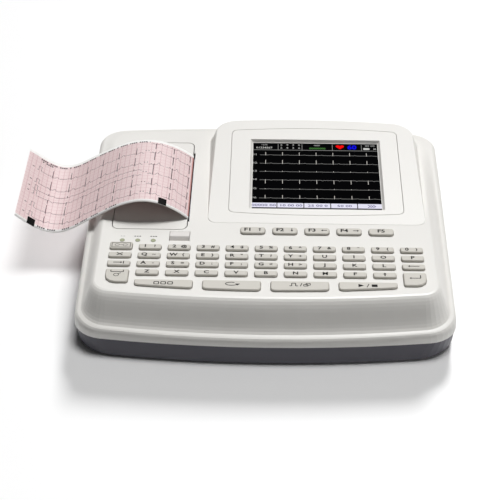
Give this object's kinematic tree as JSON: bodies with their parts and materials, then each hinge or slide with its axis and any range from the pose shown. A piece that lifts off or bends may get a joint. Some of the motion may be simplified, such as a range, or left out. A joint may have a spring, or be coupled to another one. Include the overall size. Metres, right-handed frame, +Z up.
{
  "type": "ecg machine",
  "caption": "Portable electrocardiograph with a sloping keyboard deck, a raised tilted display and a side-opening lid over a roll of recording paper.",
  "frame": {"origin": "On the bench, under the middle of the housing at its parting line.", "axes": "+X runs right across the keyboard, +Y runs from the operator to the back, +Z points up."},
  "size_m": [0.4002, 0.2975, 0.0886],
  "materials": {
    "base_tray": "fine satin texture, dark blue-grey",
    "top_housing": "satin warm white, light texture",
    "screen_bezel": "satin warm white",
    "display_window": "dark tinted window, glossy",
    "lcd_module": "dark frame",
    "paper_tray": "plain moulding",
    "lid_hinge_pin": "drawn rod",
    "idler_axle": "ground rod",
    "stepper_motor": "zinc plated can",
    "print_head": "extruded heat sink",
    "release_spring": "spring wire",
    "keypad_board": "circuit board with solder mask",
    "status_leds": "translucent lens, unlit",
    "main_board": "circuit board with solder mask",
    "power_supply": "circuit board",
    "battery_pack": "shrink wrap",
    "battery_cover": "dark blue-grey",
    "speaker": "paper cone in a steel basket",
    "rear_panel": "satin grey",
    "mains_inlet": "moulded thermoplastic",
    "rocker_frame": "moulded",
    "earth_stud": "nickel-free machined brass",
    "side_panel": "satin grey",
    "patient_socket": "moulded body with a plated rim",
    "network_socket": "stamped shield",
    "rubber_feet": "soft rubber",
    "case_screws": "zinc plated",
    "paper_lid": "satin warm white",
    "platen_roller": "ground rubber",
    "platen_shaft": "ground rod",
    "platen_gear": "natural acetal",
    "paper_roll": "coated thermal paper, pink grid",
    "roll_core": "wound card tube",
    "idler_gear": "natural acetal",
    "motor_pinion": "machined",
    "paper_strip": "coated thermal paper, pink grid",
    "release_button": "satin white",
    "power_rocker": "moulded",
    "key_power": "satin beige-grey",
    "key_escape": "satin beige-grey",
    "key_tab": "satin beige-grey",
    "key_space": "satin beige-grey",
    "key_function": "satin beige-grey",
    "key_shift": "satin beige-grey",
    "key_backspace": "satin beige-grey",
    "key_enter": "satin beige-grey",
    "key_f1": "satin beige-grey",
    "key_f2": "satin beige-grey",
    "key_f3": "satin beige-grey",
    "key_f4": "satin beige-grey",
    "key_f5": "satin beige-grey",
    "key_mode": "satin beige-grey",
    "key_reset": "satin beige-grey",
    "key_copy": "satin beige-grey",
    "key_start": "satin beige-grey",
    "keys_digits": "satin beige-grey",
    "keys_letters_upper": "satin beige-grey",
    "keys_letters_middle": "satin beige-grey",
    "keys_letters_lower": "satin beige-grey"
  },
  "bodies": {
    "housing": {"base_tray": "base_tray", "top_housing": "top_housing", "screen_bezel": "screen_bezel", "display_window": "display_window", "lcd_module": "lcd_module", "paper_tray": "paper_tray", "lid_hinge_pin": "lid_hinge_pin", "idler_axle": "idler_axle", "stepper_motor": "stepper_motor", "print_head": "print_head", "release_spring": "release_spring", "keypad_board": "keypad_board", "status_leds": "status_leds", "main_board": "main_board", "power_supply": "power_supply", "battery_pack": "battery_pack", "battery_cover": "battery_cover", "speaker": "speaker", "rear_panel": "rear_panel", "mains_inlet": "mains_inlet", "rocker_frame": "rocker_frame", "earth_stud": "earth_stud", "side_panel": "side_panel", "patient_socket": "patient_socket", "network_socket": "network_socket", "rubber_feet": "rubber_feet", "case_screws": "case_screws"},
    "lid": {"paper_lid": "paper_lid"},
    "platen": {"platen_roller": "platen_roller", "platen_shaft": "platen_shaft", "platen_gear": "platen_gear"},
    "roll": {"paper_roll": "paper_roll", "roll_core": "roll_core"},
    "idler": {"idler_gear": "idler_gear"},
    "pinion": {"motor_pinion": "motor_pinion"},
    "strip": {"paper_strip": "paper_strip"},
    "release": {"release_button": "release_button"},
    "rocker": {"power_rocker": "power_rocker"},
    "key_power": {"key_power": "key_power"},
    "key_escape": {"key_escape": "key_escape"},
    "key_tab": {"key_tab": "key_tab"},
    "key_space": {"key_space": "key_space"},
    "key_function": {"key_function": "key_function"},
    "key_shift": {"key_shift": "key_shift"},
    "key_backspace": {"key_backspace": "key_backspace"},
    "key_enter": {"key_enter": "key_enter"},
    "key_f1": {"key_f1": "key_f1"},
    "key_f2": {"key_f2": "key_f2"},
    "key_f3": {"key_f3": "key_f3"},
    "key_f4": {"key_f4": "key_f4"},
    "key_f5": {"key_f5": "key_f5"},
    "key_mode": {"key_mode": "key_mode"},
    "key_reset": {"key_reset": "key_reset"},
    "key_copy": {"key_copy": "key_copy"},
    "key_start": {"key_start": "key_start"},
    "keys_digits": {"keys_digits": "keys_digits"},
    "keys_letters_upper": {"keys_letters_upper": "keys_letters_upper"},
    "keys_letters_middle": {"keys_letters_middle": "keys_letters_middle"},
    "keys_letters_lower": {"keys_letters_lower": "keys_letters_lower"}
  },
  "joints": [
    {"name": "lid_hinge", "type": "hinge", "parent": "housing", "child": "lid", "pos_m": [-0.134, 0.04557, 0.06358], "axis": [0, -0.9976, -0.0698], "range_deg": [0, 95]},
    {"name": "paper_level", "type": "hinge", "parent": "lid", "child": "strip", "pos_m": [-0.0722, 0.04222, 0.06555], "axis": [0, -0.9976, -0.0698], "range_deg": [-95, 0]},
    {"name": "roll_spin", "type": "hinge", "parent": "housing", "child": "roll", "pos_m": [-0.108, 0.04426, 0.03652], "axis": [0, -0.9976, -0.0698], "continuous": true},
    {"name": "platen_spin", "type": "hinge", "parent": "lid", "child": "platen", "pos_m": [-0.0784, 0.04283, 0.05697], "axis": [0, -0.9976, -0.0698], "continuous": true},
    {"name": "idler_spin", "type": "hinge", "parent": "housing", "child": "idler", "pos_m": [-0.06972, 0.10699, 0.05109], "axis": [0, -0.9976, -0.0698], "continuous": true},
    {"name": "motor_spin", "type": "hinge", "parent": "housing", "child": "pinion", "pos_m": [-0.05657, 0.10733, 0.04632], "axis": [0, -0.9976, -0.0698], "continuous": true},
    {"name": "release_press", "type": "slide", "parent": "housing", "child": "release", "axis": [0, 0.0698, -0.9976], "range_m": [0, 0.002], "stiffness_N_per_m": 400, "springref_m": -0.001, "deforming": ["release_spring"]},
    {"name": "power_rock", "type": "hinge", "parent": "housing", "child": "rocker", "pos_m": [0.08, 0.1375, 0.04], "axis": [1, 0, 0], "range_deg": [-18, 0]},
    {"name": "key_power_press", "type": "slide", "parent": "housing", "child": "key_power", "axis": [0, 0.0698, -0.9976], "range_m": [0, 0.001], "stiffness_N_per_m": 400, "springref_m": -0.0005},
    {"name": "key_escape_press", "type": "slide", "parent": "housing", "child": "key_escape", "axis": [0, 0.0698, -0.9976], "range_m": [0, 0.001], "stiffness_N_per_m": 400, "springref_m": -0.0005},
    {"name": "key_tab_press", "type": "slide", "parent": "housing", "child": "key_tab", "axis": [0, 0.0698, -0.9976], "range_m": [0, 0.001], "stiffness_N_per_m": 400, "springref_m": -0.0005},
    {"name": "key_space_press", "type": "slide", "parent": "housing", "child": "key_space", "axis": [0, 0.0698, -0.9976], "range_m": [0, 0.001], "stiffness_N_per_m": 400, "springref_m": -0.0005},
    {"name": "key_function_press", "type": "slide", "parent": "housing", "child": "key_function", "axis": [0, 0.0698, -0.9976], "range_m": [0, 0.001], "stiffness_N_per_m": 400, "springref_m": -0.0005},
    {"name": "key_shift_press", "type": "slide", "parent": "housing", "child": "key_shift", "axis": [0, 0.0698, -0.9976], "range_m": [0, 0.001], "stiffness_N_per_m": 400, "springref_m": -0.0005},
    {"name": "key_backspace_press", "type": "slide", "parent": "housing", "child": "key_backspace", "axis": [0, 0.0698, -0.9976], "range_m": [0, 0.001], "stiffness_N_per_m": 400, "springref_m": -0.0005},
    {"name": "key_enter_press", "type": "slide", "parent": "housing", "child": "key_enter", "axis": [0, 0.0698, -0.9976], "range_m": [0, 0.001], "stiffness_N_per_m": 400, "springref_m": -0.0005},
    {"name": "key_f1_press", "type": "slide", "parent": "housing", "child": "key_f1", "axis": [0, 0.0698, -0.9976], "range_m": [0, 0.001], "stiffness_N_per_m": 400, "springref_m": -0.0005},
    {"name": "key_f2_press", "type": "slide", "parent": "housing", "child": "key_f2", "axis": [0, 0.0698, -0.9976], "range_m": [0, 0.001], "stiffness_N_per_m": 400, "springref_m": -0.0005},
    {"name": "key_f3_press", "type": "slide", "parent": "housing", "child": "key_f3", "axis": [0, 0.0698, -0.9976], "range_m": [0, 0.001], "stiffness_N_per_m": 400, "springref_m": -0.0005},
    {"name": "key_f4_press", "type": "slide", "parent": "housing", "child": "key_f4", "axis": [0, 0.0698, -0.9976], "range_m": [0, 0.001], "stiffness_N_per_m": 400, "springref_m": -0.0005},
    {"name": "key_f5_press", "type": "slide", "parent": "housing", "child": "key_f5", "axis": [0, 0.0698, -0.9976], "range_m": [0, 0.001], "stiffness_N_per_m": 400, "springref_m": -0.0005},
    {"name": "key_mode_press", "type": "slide", "parent": "housing", "child": "key_mode", "axis": [0, 0.0698, -0.9976], "range_m": [0, 0.001], "stiffness_N_per_m": 400, "springref_m": -0.0005},
    {"name": "key_reset_press", "type": "slide", "parent": "housing", "child": "key_reset", "axis": [0, 0.0698, -0.9976], "range_m": [0, 0.001], "stiffness_N_per_m": 400, "springref_m": -0.0005},
    {"name": "key_copy_press", "type": "slide", "parent": "housing", "child": "key_copy", "axis": [0, 0.0698, -0.9976], "range_m": [0, 0.001], "stiffness_N_per_m": 400, "springref_m": -0.0005},
    {"name": "key_start_press", "type": "slide", "parent": "housing", "child": "key_start", "axis": [0, 0.0698, -0.9976], "range_m": [0, 0.001], "stiffness_N_per_m": 400, "springref_m": -0.0005},
    {"name": "keys_digits_press", "type": "slide", "parent": "housing", "child": "keys_digits", "axis": [0, 0.0698, -0.9976], "range_m": [0, 0.001], "stiffness_N_per_m": 1200, "springref_m": -0.0005},
    {"name": "keys_letters_upper_press", "type": "slide", "parent": "housing", "child": "keys_letters_upper", "axis": [0, 0.0698, -0.9976], "range_m": [0, 0.001], "stiffness_N_per_m": 1200, "springref_m": -0.0005},
    {"name": "keys_letters_middle_press", "type": "slide", "parent": "housing", "child": "keys_letters_middle", "axis": [0, 0.0698, -0.9976], "range_m": [0, 0.001], "stiffness_N_per_m": 1200, "springref_m": -0.0005},
    {"name": "keys_letters_lower_press", "type": "slide", "parent": "housing", "child": "keys_letters_lower", "axis": [0, 0.0698, -0.9976], "range_m": [0, 0.001], "stiffness_N_per_m": 1200, "springref_m": -0.0005}
  ],
  "couplings": [
    {"joint": "paper_level", "follows": "lid_hinge", "ratio": -1},
    {"joint": "platen_spin", "follows": "roll_spin", "ratio": 3.75},
    {"joint": "idler_spin", "follows": "roll_spin", "ratio": -1.875},
    {"joint": "motor_spin", "follows": "roll_spin", "ratio": 3.375}
  ]
}
